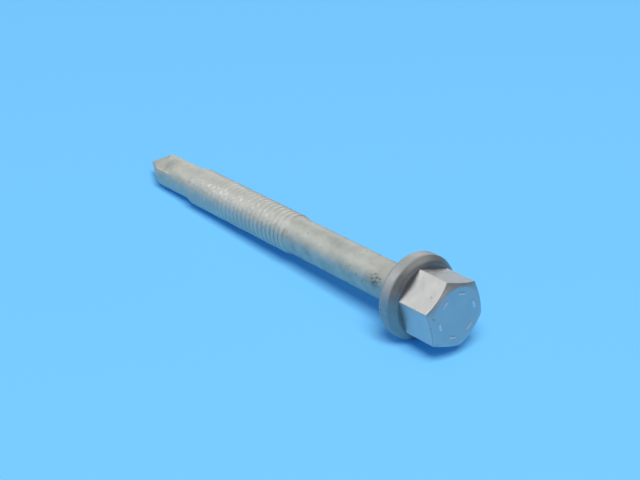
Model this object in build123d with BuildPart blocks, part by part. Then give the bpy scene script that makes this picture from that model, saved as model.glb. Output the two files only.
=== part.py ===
from build123d import *
import os
from math import cos, radians, sin, sqrt, tan

# Hex flange head self-drilling screw, lying along X.
# +X runs along the axis towards the head, +Z is up, and the origin is the centre
# of the bearing face under the flange. All lengths are in millimetres.

# Driving dimensions
hex_across_flats = 8.0
thread_major_diameter = 5.5
thread_pitch = 0.9
length_under_head = 57.0
hex_roll_deg = 13.3          # from straight up towards -Y, to the uppermost hex corner
flute_roll_deg = 26.0        # from straight up towards -Y, to the middle of the upper flute

# Head
head_height = 8.05           # bearing face to the top of the head
chamfer_drop = 0.55          # top of the head down to the first full corner
top_face_radius = 3.6        # flat left on top inside the chamfer
hex_edge_round = 0.12
mark_count = 6               # plain raised dashes round the top face
mark_ring_radius = 2.75
mark_length = 1.0
mark_width = 0.24
mark_height = 0.1

# Flange
flange_radius = 5.5
flange_thickness = 2.75      # bearing face to the foot of the hexagon
flange_rim_height = 1.75     # bearing face to the front edge of the rim
flange_slope_width = 0.75    # from the rim in to the flat round the hexagon
flange_back_round = 0.6
flange_front_round = 0.25

# Plain shank
shank_diameter = 5.06
shank_length = 22.0          # bearing face to the first thread
neck_fillet = 1.3

# Thread
thread_length = 22.75
thread_root_diameter = 4.38
thread_crest_width = 0.22
thread_root_width = 0.12
thread_lead_in = 0.6         # the crest tapers off over this length at both ends

# Drill point
point_diameter = 4.72
point_angle_deg = 55.0
flute_length = 8.3
flute_depth = 1.0
flute_cutter_radius = 2.2

# Worked out from the driving dimensions
hex_corner_radius = hex_across_flats / sqrt(3)
shank_radius = shank_diameter / 2
neck_radius = shank_radius + neck_fillet
crest_radius = thread_major_diameter / 2
root_radius = thread_root_diameter / 2
thread_start = -shank_length
thread_end = thread_start - thread_length
point_radius = point_diameter / 2
point_slope = tan(radians(point_angle_deg / 2))
tip_x = -length_under_head
shoulder_x = tip_x + point_radius / point_slope

os.makedirs("parts", exist_ok=True)


def across(angle_deg):
    """Unit vector square to the axis, turned from straight up towards -Y."""
    return Vector(0, -sin(radians(angle_deg)), cos(radians(angle_deg)))


def station(x, angle_deg=0.0):
    """Plane square to the axis at x, facing the head, with its own x direction at the angle."""
    return Plane(origin=(x, 0, 0), x_dir=across(angle_deg), z_dir=(1, 0, 0))


# Hexagon: prism with its top corners turned off to a cone, and plain raised dashes on top
with BuildPart() as hex_head:
    with BuildSketch(station(flange_thickness, hex_roll_deg)):
        RegularPolygon(hex_corner_radius, 6)
    extrude(amount=head_height - flange_thickness)
    fillet(hex_head.edges().filter_by(Axis.X), hex_edge_round)
    with BuildSketch(Plane.XZ):
        with BuildLine():
            Polyline(
                (flange_thickness, 0),
                (flange_thickness, hex_corner_radius),
                (head_height - chamfer_drop, hex_corner_radius),
                (head_height, top_face_radius),
                (head_height, 0),
                close=True,
            )
        make_face()
    revolve(axis=Axis.X, mode=Mode.INTERSECT)
    with BuildSketch(station(head_height, hex_roll_deg)):
        with PolarLocations(mark_ring_radius, mark_count, start_angle=180 / mark_count):
            SlotOverall(mark_length, mark_width, rotation=90)
    extrude(amount=mark_height)
hex_head.part.label = "hex_head"
export_step(hex_head.part, "parts/hex_head.step")

# Flange: ring with a flat bearing face, a rounded rim and a front that slopes up to the hexagon
with BuildPart() as flange:
    with BuildSketch(Plane.XZ):
        with BuildLine():
            Polyline(
                (0, neck_radius),
                (0, flange_radius),
                (flange_rim_height, flange_radius),
                (flange_thickness, flange_radius - flange_slope_width),
                (flange_thickness, neck_radius),
                close=True,
            )
        make_face()
    revolve(axis=Axis.X)
    outer_rings = flange.edges().filter_by(GeomType.CIRCLE).filter_by(
        lambda ring: ring.radius > neck_radius + 0.1
    )
    back_ring, rim_ring, slope_ring = outer_rings.sort_by(Axis.X)
    fillet(back_ring, flange_back_round)
    fillet((rim_ring, slope_ring), flange_front_round)
flange.part.label = "flange"
export_step(flange.part, "parts/flange.step")

# Plain shank: cylinder with a fillet under the head, and a core that fills the flange's ring
with BuildPart() as plain_shank:
    with BuildSketch(Plane.XZ):
        with BuildLine():
            Polyline((-neck_fillet, shank_radius), (thread_start, shank_radius), (thread_start, 0))
            Polyline((thread_start, 0), (flange_thickness, 0), (flange_thickness, neck_radius))
            Line((flange_thickness, neck_radius), (0, neck_radius))
            RadiusArc((0, neck_radius), (-neck_fillet, shank_radius), neck_fillet)
        make_face()
    revolve(axis=Axis.X)
plain_shank.part.label = "plain_shank"
export_step(plain_shank.part, "parts/plain_shank.step")

# Thread core: the round root cylinder that the thread winds on
with BuildPart() as thread_core:
    with BuildSketch(station(thread_start)):
        Circle(root_radius)
    extrude(amount=-thread_length)
thread_core.part.label = "thread_core"
export_step(thread_core.part, "parts/thread_core.step")

# Thread ridge: one right-hand ridge wound along the core, its crest tapered off at both ends
with BuildLine() as winding:
    Helix(
        thread_pitch,
        thread_length - thread_pitch,
        root_radius,
        center=(thread_start - thread_pitch / 2, 0, 0),
        direction=(-1, 0, 0),
    )
winding_start = winding.line @ 0
outward = Vector(0, winding_start.Y, winding_start.Z).normalized()
ridge_depth = crest_radius - root_radius
half_foot = (thread_pitch - thread_root_width) / 2
half_crest = thread_crest_width / 2
with BuildPart() as thread_ridge:
    with BuildSketch(Plane(winding_start, x_dir=outward, z_dir=outward.cross(Vector(1, 0, 0)))):
        with BuildLine():
            Polyline(
                (0, -half_foot),
                (ridge_depth, -half_crest),
                (ridge_depth, half_crest),
                (0, half_foot),
                close=True,
            )
        make_face()
    sweep(path=winding.line, is_frenet=True)
    with BuildSketch(Plane.XZ):
        with BuildLine():
            Polyline(
                (thread_start, 0),
                (thread_start, shank_radius),
                (thread_start - thread_lead_in, crest_radius + 0.01),
                (thread_end + thread_lead_in, crest_radius + 0.01),
                (thread_end, point_radius),
                (thread_end, 0),
                close=True,
            )
        make_face()
    revolve(axis=Axis.X, mode=Mode.INTERSECT)
thread_ridge.part.label = "thread_ridge"
export_step(thread_ridge.part, "parts/thread_ridge.step")

# Drill point: round blank with a pointed end and two opposite flutes that run out before the thread
flute_axis_radius = point_radius - flute_depth + flute_cutter_radius
run_out_reach = sqrt(flute_cutter_radius**2 - (flute_axis_radius - point_radius) ** 2)
flute_centre_x = tip_x + flute_length - run_out_reach
with BuildPart() as drill_point:
    with BuildSketch(Plane.XZ):
        with BuildLine():
            Polyline(
                (thread_end, 0),
                (thread_end, point_radius),
                (shoulder_x, point_radius),
                (tip_x, 0),
                close=True,
            )
        make_face()
    revolve(axis=Axis.X)
    for side in (0, 180):
        centre = across(flute_roll_deg + side) * flute_axis_radius
        with BuildSketch(Plane.YZ.offset(flute_centre_x)):
            with Locations((centre.Y, centre.Z)):
                Circle(flute_cutter_radius)
        extrude(amount=-2 * flute_length, mode=Mode.SUBTRACT)
        with Locations((flute_centre_x, centre.Y, centre.Z)):
            Sphere(flute_cutter_radius, mode=Mode.SUBTRACT)
drill_point.part.label = "drill_point"
export_step(drill_point.part, "parts/drill_point.step")
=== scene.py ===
"""Looks of a zinc-coated hex flange head self-drilling screw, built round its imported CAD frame.

Every piece is a mesh in polar form: rows run along the screw's axis (+X, towards the head) and
columns run round it. An angle is measured from straight up (+Z) towards -Y, in radians. Shapes
are worked out in millimetres and written in metres.
"""
from math import cos, pi, radians, sin, sqrt, tan

import bpy
import numpy as np
from mathutils import Matrix, Vector


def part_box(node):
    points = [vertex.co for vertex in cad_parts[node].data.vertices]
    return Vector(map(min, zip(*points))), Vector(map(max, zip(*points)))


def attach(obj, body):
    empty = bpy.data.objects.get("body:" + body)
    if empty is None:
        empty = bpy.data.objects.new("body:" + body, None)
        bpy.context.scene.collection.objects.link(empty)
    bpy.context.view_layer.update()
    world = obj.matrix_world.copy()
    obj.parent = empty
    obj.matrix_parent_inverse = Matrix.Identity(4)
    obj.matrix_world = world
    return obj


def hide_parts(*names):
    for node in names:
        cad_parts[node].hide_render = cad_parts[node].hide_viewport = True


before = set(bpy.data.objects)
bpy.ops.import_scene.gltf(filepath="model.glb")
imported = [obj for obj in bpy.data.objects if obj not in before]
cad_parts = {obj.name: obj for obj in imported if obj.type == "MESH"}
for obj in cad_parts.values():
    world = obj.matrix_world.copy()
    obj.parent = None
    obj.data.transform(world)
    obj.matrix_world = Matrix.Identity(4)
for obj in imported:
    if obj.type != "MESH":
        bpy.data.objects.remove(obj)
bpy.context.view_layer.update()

MM = 0.001


def box_mm(node):
    """Lowest and highest corner of a CAD node, in millimetres."""
    low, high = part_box(node)
    return low / MM, high / MM


# Read from the frame
mark_top_x = box_mm("hex_head")[1].x
flange_thickness = box_mm("flange")[1].x
flange_radius = box_mm("flange")[1].z
neck_radius = box_mm("plain_shank")[1].z
core_low, core_high = box_mm("thread_core")
thread_start_x = core_high.x
thread_end_x = core_low.x
root_radius = core_high.z
crest_radius = box_mm("thread_ridge")[1].z
point_low, point_high = box_mm("drill_point")
point_radius = point_high.z
tip_x = point_low.x

# The CAD model's own dimensions that its boxes don't give
across_flats = 8.0
hex_roll = radians(13.3)     # to the uppermost corner of the hexagon
chamfer_drop = 0.55
top_face_radius = 3.6
mark_height = 0.1
mark_count = 6
mark_ring_radius = 2.75
flange_rim_height = 1.75
flange_slope_width = 0.75
flange_back_round = 0.6
shank_radius = 2.53
neck_fillet = 1.3
thread_pitch = 0.9
thread_crest_width = 0.22
thread_root_width = 0.12
flute_roll = radians(26.0)   # to the middle of the upper flute
flute_length = 8.3
flute_depth = 1.0
flute_cutter_radius = 2.2
point_half_angle = radians(27.5)

# Worked out from both
top_x = mark_top_x - mark_height
apothem = across_flats / 2
corner_radius = apothem / cos(pi / 6)
chamfer_slope = (corner_radius - top_face_radius) / chamfer_drop
shoulder_x = tip_x + point_radius / tan(point_half_angle)

piece_overlap = 0.25         # how far a piece runs on inside its neighbour


# ---------------------------------------------------------------- shape helpers
def smooth_min(a, b, width):
    """The smaller of two values, rounded over where they are nearer than width."""
    share = np.clip(width - np.abs(a - b), 0, None) / width
    return np.minimum(a, b) - share * share * width / 4


def smooth_step(value, start, end):
    """0 before start, 1 after end, eased in between."""
    t = np.clip((value - start) / (end - start), 0, 1)
    return t * t * (3 - 2 * t)


def bell(offset, width):
    """1 where the offset is nothing, falling away to 0 on both sides."""
    return np.exp(-((offset / width) ** 2))


def signed(angle):
    """The same angle, brought to between minus and plus half a turn."""
    return (angle + pi) % (2 * pi) - pi


def facing(angle, middle, reach):
    """1 within reach of a middle angle and 0 beyond it, with a narrow soft edge."""
    edge = radians(2)
    return 1 - smooth_step(np.abs(signed(angle - middle)), reach - edge, reach + edge)


def lumps(x, r, angle, wavelength, seed, waves=28):
    """A smooth random field of about unit spread, the same each time, with lumps of one size."""
    rng = np.random.default_rng(seed)
    directions = rng.normal(size=(waves, 3))
    directions /= np.linalg.norm(directions, axis=1)[:, None]
    phases = rng.uniform(0, 2 * pi, waves)
    y, z = -r * np.sin(angle), r * np.cos(angle)
    total = np.zeros(np.broadcast(x, r, angle).shape)
    for (dx, dy, dz), phase in zip(directions, phases):
        total += np.sin((x * dx + y * dy + z * dz) * (2 * pi / wavelength) + phase)
    return total / sqrt(waves / 2)


def sunk(x, r, angle, depth, wavelength, seed):
    """How far an uneven coating lies below its highest level, from 0 to depth."""
    level = 0.5 + 0.25 * lumps(x, r, angle, wavelength, seed)
    return depth * np.clip(level, 0, 1)


def wide_runs(x, r, angle):
    """Long runs of the coating that the shank and the thread share."""
    return sunk(x, r, angle, depth=0.05, wavelength=3.1, seed=31)


def even_angles(count):
    """Column angles for a round piece."""
    return np.arange(count) * (2 * pi / count)


def hex_angles(per_flat):
    """Column angles for a hexagon, closer together near its corners."""
    crowding = 0.8
    t = np.arange(per_flat) / per_flat * 2 - 1
    within = pi / 6 * ((1 - crowding) * t + crowding * np.sin(t * pi / 2))
    flats = hex_roll + pi / 6 + np.arange(6) * (pi / 3)
    return (flats[:, None] + within[None, :]).ravel()


def from_flat(angle):
    """Angle from the middle of the nearest flat."""
    return (angle - hex_roll) % (pi / 3) - pi / 6


def hex_radius(angle):
    """Outline of the hexagon, with its corners rounded."""
    corner_blend = 0.0924
    near = apothem / np.cos(from_flat(angle))
    beside = apothem / np.cos(pi / 3 - np.abs(from_flat(angle)))
    return smooth_min(near, beside, corner_blend)


def hex_distance(r, angle):
    """Distance outside the hexagon's outline."""
    outward = r * np.cos(from_flat(angle)) - apothem
    past_corner = np.abs(r * np.sin(from_flat(angle))) - apothem * tan(pi / 6)
    return np.hypot(np.clip(outward, 0, None), np.clip(past_corner, 0, None))


# ---------------------------------------------------------------- mesh helpers
def polar_piece(name, x, r, angles, stain_and_shade, painted_light, ring=False):
    """Mesh of rows (along the axis) by columns (round it), closed at its ends or into a ring.
    The two shares, from 0 to 1, are for the material to read: a darker one (a real stain and
    painted shade) and a lighter one (painted highlights and painted reflections)."""
    rows, columns = r.shape
    angle = np.broadcast_to(angles, r.shape)
    x = np.broadcast_to(x, r.shape)
    points = np.stack([x, -r * np.sin(angle), r * np.cos(angle)], axis=-1).reshape(-1, 3)
    i = np.arange(rows if ring else rows - 1)[:, None]
    j = np.arange(columns)[None, :]
    next_i, next_j = (i + 1) % rows, (j + 1) % columns
    corners = [
        i * columns + j,
        i * columns + next_j,
        next_i * columns + next_j,
        next_i * columns + j,
    ]
    faces = np.stack(corners, axis=-1).reshape(-1, 4).tolist()
    if not ring:
        back, front = len(points), len(points) + 1
        ends = [[x[0].mean(), 0, 0], [x[-1].mean(), 0, 0]]
        points = np.concatenate([points, ends])
        last = (rows - 1) * columns
        for k in range(columns):
            after = (k + 1) % columns
            faces.append([back, after, k])
            faces.append([front, last + k, last + after])
    mesh = bpy.data.meshes.new(name)
    mesh.from_pydata((points * MM).tolist(), [], faces)
    for field, share in (("stain_and_shade", stain_and_shade), ("painted_light", painted_light)):
        values = np.broadcast_to(share, r.shape).ravel()
        padded = np.concatenate([values, np.zeros(len(points) - len(values))])
        layer = mesh.attributes.new(field, "FLOAT", "POINT")
        layer.data.foreach_set("value", padded.astype(np.float32))
    mesh.shade_smooth()
    piece = bpy.data.objects.new(name, mesh)
    bpy.context.scene.collection.objects.link(piece)
    return piece


def stands_for(piece, slot, material, *nodes):
    """The piece shows in place of CAD nodes, moves with the screw and has its own finish."""
    piece.data.materials.append(material)
    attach(piece, "root")
    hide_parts(*nodes)
    return piece


# ---------------------------------------------------------------- materials
def coating(name, dark, light, painted_light_colour=(0.68, 0.69, 0.66), roughness=0.5):
    """Uneven zinc-flake coating: cloudy patches, fine mottling, specks and fine grain.
    It reads two fields of the mesh: one darker (a real stain and painted shade) and one lighter
    (painted highlights and painted reflections)."""
    # dark colour for the real specks and stain, and for painted shade
    stain_and_shade_colour = (0.12, 0.13, 0.11)
    grain_height_mm = 0.012
    material = bpy.data.materials.new(name)
    material.use_nodes = True
    nodes, links = material.node_tree.nodes, material.node_tree.links
    shader = nodes["Principled BSDF"]
    place = nodes.new("ShaderNodeTexCoord").outputs["Object"]

    def field(label):
        node = nodes.new("ShaderNodeAttribute")
        node.attribute_name = label
        return node.outputs["Fac"]

    def cloud(size_mm, detail, distortion=0.0):
        node = nodes.new("ShaderNodeTexNoise")
        node.inputs["Scale"].default_value = 1 / (size_mm * MM)
        node.inputs["Detail"].default_value = detail
        node.inputs["Distortion"].default_value = distortion
        links.new(place, node.inputs["Vector"])
        return node.outputs["Fac"]

    def remap(value, low, high, to_low=0.0, to_high=1.0):
        node = nodes.new("ShaderNodeMapRange")
        node.inputs["From Min"].default_value = low
        node.inputs["From Max"].default_value = high
        node.inputs["To Min"].default_value = to_low
        node.inputs["To Max"].default_value = to_high
        links.new(value, node.inputs["Value"])
        return node.outputs["Result"]

    def plug(socket, value):
        if isinstance(value, float):
            socket.default_value = value
        elif isinstance(value, tuple):
            socket.default_value = (*value, 1)
        else:
            links.new(value, socket)

    def combine(kind, a, b):
        node = nodes.new("ShaderNodeMath")
        node.operation = kind
        plug(node.inputs[0], a)
        plug(node.inputs[1], b)
        return node.outputs["Value"]

    def mix(share, a, b):
        node = nodes.new("ShaderNodeMix")
        node.data_type = "RGBA"
        links.new(share, node.inputs["Factor"])
        plug(node.inputs["A"], a)
        plug(node.inputs["B"], b)
        return node.outputs["Result"]

    patches = cloud(size_mm=3.2, detail=2.0, distortion=0.6)
    mottle = cloud(size_mm=0.7, detail=3.0, distortion=0.3)
    tone = combine("ADD", combine("MULTIPLY", patches, 0.6), combine("MULTIPLY", mottle, 0.4))
    colour = mix(remap(tone, 0.36, 0.64), dark, light)
    specks = remap(cloud(size_mm=0.45, detail=1.0), 0.70, 0.78, to_high=0.6)
    colour = mix(specks, colour, stain_and_shade_colour)
    # painted light and shade: the lighter field paints highlights and reflections, the darker one
    # paints shade and a real stain
    colour = mix(field("painted_light"), colour, painted_light_colour)
    colour = mix(field("stain_and_shade"), colour, stain_and_shade_colour)
    links.new(colour, shader.inputs["Base Color"])
    shader.inputs["Metallic"].default_value = 0.85
    uneven_roughness = remap(mottle, 0.3, 0.7, roughness - 0.06, roughness + 0.08)
    links.new(uneven_roughness, shader.inputs["Roughness"])
    bump = nodes.new("ShaderNodeBump")
    bump.inputs["Strength"].default_value = 0.5
    bump.inputs["Distance"].default_value = grain_height_mm * MM
    links.new(cloud(size_mm=0.16, detail=2.0), bump.inputs["Height"])
    links.new(bump.outputs["Normal"], shader.inputs["Normal"])
    return material


# ---------------------------------------------------------------- hexagon
def hexagon():
    """Tall hexagon: flats, turned-off corners, and a top face with plain raised dashes."""
    turn_drop = 0.1              # the turn onto the top face starts this far below it
    turn_reach = 0.16            # and ends this far inside its edge
    centre_hole = 0.03           # the last row, which one point closes
    edge_blend = 0.09
    half_mark = 0.4
    angles = hex_angles(80)
    angle = angles[None, :]

    below_chamfer = top_x - chamfer_drop - 0.15
    side_x = np.linspace(flange_thickness - piece_overlap, below_chamfer, 44)
    chamfer_x = np.linspace(below_chamfer, top_x - turn_drop, 44)[1:]
    cone_x = np.concatenate([side_x, chamfer_x])
    cone_r = top_face_radius + (top_x - cone_x) * chamfer_slope
    top_r = np.linspace(top_face_radius - turn_reach, centre_hole, 72)
    # a quadratic curve turns the chamfer over onto the top face
    t = np.linspace(0, 1, 9)[1:]
    turn_x = (1 - t) ** 2 * cone_x[-1] + (1 - (1 - t) ** 2) * top_x
    turn_r = (1 - t) ** 2 * cone_r[-1] + 2 * t * (1 - t) * top_face_radius + t**2 * top_r[0]
    row_x = np.concatenate([cone_x, turn_x, np.full(len(top_r) - 1, top_x)])[:, None]
    row_r = np.concatenate([cone_r, turn_r, top_r[1:]])[:, None]
    r = smooth_min(hex_radius(angle), row_r, edge_blend)

    inside_edge = smooth_step(row_r, top_face_radius - 0.1, top_face_radius - 0.3)
    on_top = inside_edge * (row_x > top_x - 0.01)
    marks = np.zeros(r.shape)
    for k in range(mark_count):
        middle = hex_roll + (2 * k + 1) * pi / mark_count
        along = np.abs(mark_ring_radius * signed(angle - middle))
        off_mark = np.hypot(np.clip(along - half_mark, 0, None), row_r - mark_ring_radius)
        marks = np.maximum(marks, 1 - smooth_step(off_mark, 0.05, 0.2))
    hollows = sunk(row_x, r, angle, depth=0.02, wavelength=1.1, seed=11)
    x = row_x + on_top * (marks * mark_height - (1 - marks) * hollows)

    # one lower flat has a crease along the arc of the chamfer, which is also painted darker as
    # shade in it
    off_arc = hex_radius(angle) - row_r
    lower_flat = facing(angle, hex_roll + pi / 2, radians(29))
    crease = bell(off_arc + 0.06, 0.05) * lower_flat * (1 - on_top)
    r = r - 0.05 * crease
    r = r - (1 - on_top) * sunk(x, r, angle, depth=0.018, wavelength=1.6, seed=12)

    # painted light: the top face and the lower flat are painted lighter as reflections, the upper
    # flats lighter next to the flange, and the raised dashes and the chamfer arc get painted
    # highlights
    edge = bell(off_arc, 0.06) * (1 - on_top)
    toward_top = smooth_step(row_x, top_x - chamfer_drop, top_x)
    near_flange = 1 - smooth_step(row_x, flange_thickness, flange_thickness + 1.5)
    upper_flats = facing(angle, hex_roll, radians(59))
    painted_light = 0.25 * toward_top + 0.3 * lower_flat * (1 - toward_top)
    painted_light = painted_light + 0.25 * near_flange * upper_flats + marks * on_top + 0.2 * edge
    return polar_piece("hexagon", x, r, angles, stain_and_shade=0.75 * crease, painted_light=np.clip(painted_light, 0, 1))


# ---------------------------------------------------------------- flange
def flange():
    """Round flange: flat bearing face, rounded back edge, rim, and a front with a short slope."""
    slope_blend = 0.35           # from the slope to the flat round the hexagon
    rim_gap = 0.02               # the rows stop this short of the rim's front edge
    angles = even_angles(320)
    angle = angles[None, :]
    inner_r = neck_radius - 0.2

    back_r = np.linspace(inner_r, flange_radius - flange_back_round, 26)[:-1]
    turn = np.linspace(0, pi / 2, 14)
    back_turn_r = flange_radius - flange_back_round * (1 - np.sin(turn))
    back_turn_x = flange_back_round * (1 - np.cos(turn))
    rim_x = np.linspace(flange_back_round, flange_rim_height - rim_gap, 26)[1:]
    rim_r = np.full(len(rim_x), flange_radius)
    front_r = np.linspace(flange_radius - rim_gap, inner_r, 70)
    # the front is the lower of a slope and a flat, blended into each other
    steepness = (flange_thickness - flange_rim_height) / flange_slope_width
    slope_x = flange_rim_height + (flange_radius - front_r) * steepness
    front_x = smooth_min(slope_x, flange_thickness, slope_blend)
    row_x = np.concatenate([np.zeros(len(back_r)), back_turn_x, rim_x, front_x])[:, None]
    row_r = np.concatenate([back_r, back_turn_r, rim_r, front_r])[:, None]
    off_edge = np.hypot(row_x - flange_rim_height, row_r - flange_radius)
    row_r = row_r - 0.04 * bell(off_edge, 0.1)

    on_rim = smooth_step(row_r, flange_radius - 0.5, flange_radius - 0.05)
    r = row_r - on_rim * sunk(row_x, row_r, angle, depth=0.05, wavelength=2.6, seed=21)
    # painted shade: the front of the flange is darker, and darker still in the corner round the
    # hexagon
    in_corner = 1 - smooth_step(hex_distance(row_r, angle), 0.0, 0.7)
    in_front = smooth_step(row_x, flange_rim_height - 0.05, flange_rim_height + 0.1)
    stain_and_shade = (0.2 + 0.1 * in_corner) * in_front
    return polar_piece("flange_ring", row_x, r, angles, stain_and_shade, painted_light=0.0, ring=True)


# ---------------------------------------------------------------- plain shank
def shank():
    """Plain shank: straight, flared into the flange, and lumpy where the coating ran."""
    stain_x, stain_angle = -4.0, radians(66)
    under_thread = 0.1           # how far the end that runs under the thread is sunk
    angles = even_angles(256)
    angle = angles[None, :]

    straight_x = np.linspace(thread_start_x - piece_overlap, -neck_fillet, 200)
    straight_r = np.full(len(straight_x), shank_radius)
    turn = np.linspace(0, pi / 2, 16)[1:]
    neck_x = -neck_fillet * (1 - np.sin(turn))
    neck_r = shank_radius + neck_fillet * (1 - np.cos(turn))
    inside_x = np.array([piece_overlap, flange_thickness - piece_overlap])
    inside_r = np.full(2, neck_radius - 0.05)
    row_x = np.concatenate([straight_x, neck_x, inside_x])[:, None]
    row_r = np.concatenate([straight_r, neck_r, inside_r])[:, None]

    short_runs = sunk(row_x, row_r, angle, depth=0.03, wavelength=1.2, seed=32)
    r = row_r - wide_runs(row_x, row_r, angle) - short_runs
    r = r - under_thread * smooth_step(thread_start_x - row_x, 0, piece_overlap)

    stain = bell(row_x - stain_x, 0.8) * bell(angle - stain_angle, 0.3)
    blotch = 0.5 + 0.5 * lumps(row_x, row_r, angle, wavelength=0.45, seed=33)
    stain_and_shade = np.clip(stain * blotch * 1.2, 0, 0.8)
    return polar_piece("shank", row_x, r, angles, stain_and_shade, painted_light=0.0)


# ---------------------------------------------------------------- thread
def thread():
    """Rolled thread: one right-hand ridge, its furrows filling with coating towards the point."""
    rows = 470
    angles = even_angles(208)
    angle = angles[None, :]
    row_x = np.linspace(thread_end_x - piece_overlap, thread_start_x + piece_overlap, rows)[:, None]

    # on the line straight up, a crest lies one pitch in from the thread's start
    first_crest_x = thread_start_x - thread_pitch
    turns = (row_x - first_crest_x) / thread_pitch - angle / (2 * pi)
    off_crest = np.abs((turns + 0.5) % 1 - 0.5) * thread_pitch
    half_foot = (thread_pitch - thread_root_width) / 2
    ridge = 1 - smooth_step(off_crest, thread_crest_width / 2, half_foot)
    furrow = smooth_step(off_crest, 0.75 * half_foot, half_foot)

    # the coating fills the furrows most towards the point and along the upper left
    along = (thread_start_x - row_x) / (thread_start_x - thread_end_x)
    upper_left = bell(angle - radians(38), radians(34))
    fill = 0.89 + 0.11 * along + 0.06 * upper_left
    unevenness = 0.015 * lumps(row_x, crest_radius, angle, wavelength=1.6, seed=41)
    fill = np.clip(fill + unevenness, 0.85, 0.99)
    low = root_radius + fill * (crest_radius - root_radius)
    wound = low + ridge * (crest_radius - low)

    # both ends run down onto the shank and the point
    from_head = smooth_step(thread_start_x - row_x, -0.05, 0.6)
    from_point = smooth_step(row_x - thread_end_x, 0.0, 0.6)
    present = np.minimum(from_head, from_point)
    ends = np.where(along < 0.5, shank_radius, point_radius - 0.02)
    r = ends + present * (wound - ends)
    fine_runs = sunk(row_x, r, angle, depth=0.025, wavelength=0.6, seed=42)
    r = r - fine_runs * present - wide_runs(row_x, r, angle)
    outside = np.clip(np.maximum(row_x - thread_start_x, thread_end_x - row_x), 0, None)
    r = r - 0.3 * outside

    # painted shade: darker furrows, most near the head, and a darker far side
    far_side = smooth_step(signed(-angle), radians(2), radians(34))
    stain_and_shade = 0.4 * (1 - ridge) * (1 - fill) + 0.55 * furrow * (1 - upper_left) * (1 - along)
    stain_and_shade = present * (stain_and_shade + 0.3 * far_side)
    # painted highlights: lighter crests near the head, bright glints along the upper left, and a
    # bright stroke on the last turn
    glint_field = lumps(row_x, crest_radius, angle, wavelength=0.7, seed=43)
    glints = smooth_step(glint_field, 1.0, 1.8) * upper_left**4
    last_turn = bell(row_x - thread_start_x + 0.4, 0.2) * upper_left**4
    painted_light = 0.15 * ridge * present * (1 - along) + 0.8 * glints + 0.8 * last_turn
    return polar_piece("thread", row_x, r, angles, stain_and_shade, painted_light=np.clip(painted_light, 0, 1))


# ---------------------------------------------------------------- drill point
def drill_point():
    """Drill point: round blank, pointed end, and two opposite flutes that fade out at the back."""
    tip_radius = 0.02
    run_out = 4.3                # length over which the flutes fade out
    edge_blend = 0.9             # the coating softens the edges of the flutes
    angles = even_angles(288)
    angle = angles[None, :]

    cone_x = tip_x + (shoulder_x - tip_x) * np.linspace(0, 1, 70) ** 1.25
    blank_x = np.linspace(shoulder_x, thread_end_x + piece_overlap, 130)[1:]
    row_x = np.concatenate([cone_x, blank_x])[:, None]
    row_r = np.clip((row_x - tip_x) * tan(point_half_angle), tip_radius, point_radius)

    # each flute is cut by a round cutter that runs along the screw
    axis_radius = point_radius - flute_depth + flute_cutter_radius
    off = (angle - flute_roll + pi / 2) % pi - pi / 2
    half_chord = np.clip(flute_cutter_radius**2 - (axis_radius * np.sin(off)) ** 2, 0, None)
    cut = axis_radius * np.cos(off) - np.sqrt(half_chord)
    cut = np.where(half_chord > 0, cut, 2 * point_radius)
    fluted_r = smooth_min(row_r, cut, edge_blend)
    flute_end_x = tip_x + flute_length
    present = 1 - smooth_step(row_x, flute_end_x - run_out, flute_end_x)
    r = row_r - (row_r - fluted_r) * present

    runs = sunk(row_x, r, angle, depth=0.05, wavelength=1.3, seed=51)
    r = r - runs * smooth_step(row_x, tip_x, tip_x + 1)
    outside = np.clip(row_x - thread_end_x, 0, None)
    r = np.clip(r - 0.4 * outside, 0.01, None)
    # painted shade inside the flutes, darker where they cut deeper
    stain_and_shade = 0.08 * smooth_step(row_r - r, 0.1, 0.6)
    return polar_piece("drill_point_body", row_x, r, angles, stain_and_shade, painted_light=0.0)


# ---------------------------------------------------------------- build
head_finish = coating(
    "head_coating",
    dark=(0.42, 0.425, 0.415),
    light=(0.475, 0.48, 0.47),
    painted_light_colour=(0.80, 0.77, 0.86),
    roughness=0.38,
)
flange_finish = coating(
    "flange_coating", dark=(0.31, 0.32, 0.325), light=(0.375, 0.385, 0.39), roughness=0.42
)
shank_finish = coating("shank_coating", dark=(0.36, 0.375, 0.345), light=(0.50, 0.52, 0.48))
thread_finish = coating("thread_coating", dark=(0.43, 0.44, 0.41), light=(0.53, 0.54, 0.50))
point_finish = coating("point_coating", dark=(0.44, 0.45, 0.41), light=(0.54, 0.55, 0.50))
screw = [
    stands_for(hexagon(), "head_coating", head_finish, "hex_head"),
    stands_for(flange(), "flange_coating", flange_finish, "flange"),
    stands_for(shank(), "shank_coating", shank_finish, "plain_shank"),
    stands_for(thread(), "thread_coating", thread_finish, "thread_core", "thread_ridge"),
    stands_for(drill_point(), "point_coating", point_finish, "drill_point"),
]

# ---------------------------------------------------------------- floor, light and camera
# The screw lies on its flange and on the shoulder of its point
rest_tail = Vector((shoulder_x, 0, -point_radius)) * MM
rest_head = Vector((flange_back_round, 0, -flange_radius)) * MM
along_floor = (rest_head - rest_tail).normalized()
floor_up = Vector((-along_floor.z, 0, along_floor.x))


def turned(x_axis, z_axis):
    """Rotation whose local z is z_axis and whose local x is as near x_axis as it can be."""
    z_axis = z_axis.normalized()
    y_axis = z_axis.cross(x_axis).normalized()
    return Matrix((y_axis.cross(z_axis), y_axis, z_axis)).transposed().to_4x4()


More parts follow.
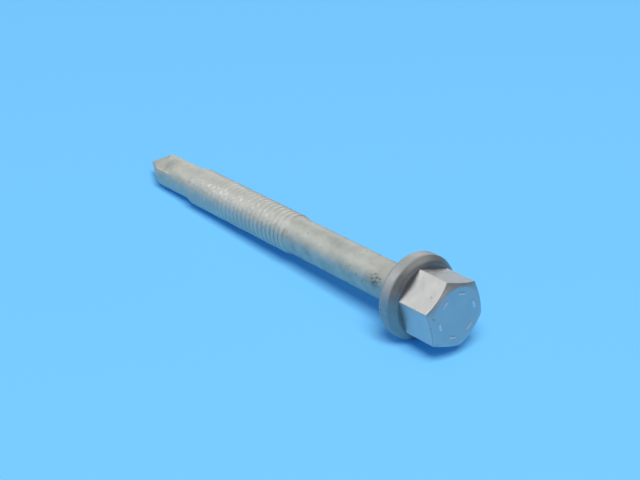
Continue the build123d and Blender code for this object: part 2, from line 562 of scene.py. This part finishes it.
def plain_floor():
    """Square pale blue floor under the screw. It glows a little, so that its shadow stays blue."""
    half = 1.2
    corners = [(-half, -half, 0), (half, -half, 0), (half, half, 0), (-half, half, 0)]
    mesh = bpy.data.meshes.new("floor")
    mesh.from_pydata(corners, [], [(0, 1, 2, 3)])
    floor = bpy.data.objects.new("floor", mesh)
    bpy.context.scene.collection.objects.link(floor)
    floor.matrix_world = Matrix.Translation(rest_head) @ turned(along_floor, floor_up)
    material = bpy.data.materials.new("pale_blue_floor")
    material.use_nodes = True
    shader = material.node_tree.nodes["Principled BSDF"]
    shader.inputs["Base Color"].default_value = (0.182, 0.53, 0.79, 1)
    shader.inputs["Emission Color"].default_value = (0.0, 0.22, 1.0, 1)
    shader.inputs["Emission Strength"].default_value = 0.21
    shader.inputs["Roughness"].default_value = 1.0
    shader.inputs["Specular IOR Level"].default_value = 0.0
    mesh.materials.append(material)
    return floor


def soft_light(name, direction, distance, size, radiance, lit):
    """Square area light that faces the screw from a direction and lights only some objects."""
    screw_middle = Vector((-0.02, 0, 0))
    light = bpy.data.lights.new(name, "AREA")
    light.shape = "SQUARE"
    light.size = size
    light.energy = radiance * pi * size * size
    holder = bpy.data.objects.new(name, light)
    bpy.context.scene.collection.objects.link(holder)
    direction = Vector(direction).normalized()
    sideways = Vector((0, 1, 0)) if abs(direction.y) < 0.9 else Vector((1, 0, 0))
    place = Matrix.Translation(screw_middle + direction * distance)
    holder.matrix_world = place @ turned(sideways, direction)
    receivers = bpy.data.collections.new(name + "_lit")
    for thing in lit:
        receivers.objects.link(thing)
    holder.light_linking.receiver_collection = receivers


def add_camera():
    """Camera a little above the head end, level with the floor."""
    azimuth, elevation, distance = radians(52.41), radians(25.15), 205.5
    aim = Vector((-18.2, 0.45, 0.58)) * MM
    level = cos(elevation)
    back = Vector((sin(azimuth) * level, -cos(azimuth) * level, sin(elevation)))
    data = bpy.data.cameras.new("camera")
    data.lens = 89.84
    data.sensor_width = 36.0
    data.clip_start = 0.01
    holder = bpy.data.objects.new("camera", data)
    bpy.context.scene.collection.objects.link(holder)
    place = Matrix.Translation(aim + back * distance * MM)
    holder.matrix_world = place @ turned(floor_up.cross(back), back)
    bpy.context.scene.camera = holder


def even_surroundings(strength):
    """The same dim white light from every side."""
    world = bpy.data.worlds.new("studio")
    bpy.context.scene.world = world
    world.use_nodes = True
    background = world.node_tree.nodes["Background"]
    background.inputs["Color"].default_value = (1, 1, 1, 1)
    background.inputs["Strength"].default_value = strength


floor_only = [plain_floor()]
soft_light("floor_softbox", (0.6, -0.34, 1.0), 2.0, size=1.0, radiance=13.8, lit=floor_only)
soft_light("overhead_softbox", (-0.4, 0.15, 0.9), 0.9, size=2.2, radiance=0.88, lit=screw)
soft_light("far_card", (-0.62, 0.74, 0.2), 0.85, size=0.7, radiance=0.5, lit=screw)
soft_light("near_card", (-0.5, -0.76, 0.33), 0.85, size=1.35, radiance=0.64, lit=screw)
soft_light("front_card", (0.93, 0.1, 0.4), 0.85, size=0.5, radiance=0.5, lit=screw)
even_surroundings(0.18)
bpy.context.scene.view_settings.view_transform = "Standard"
add_camera()
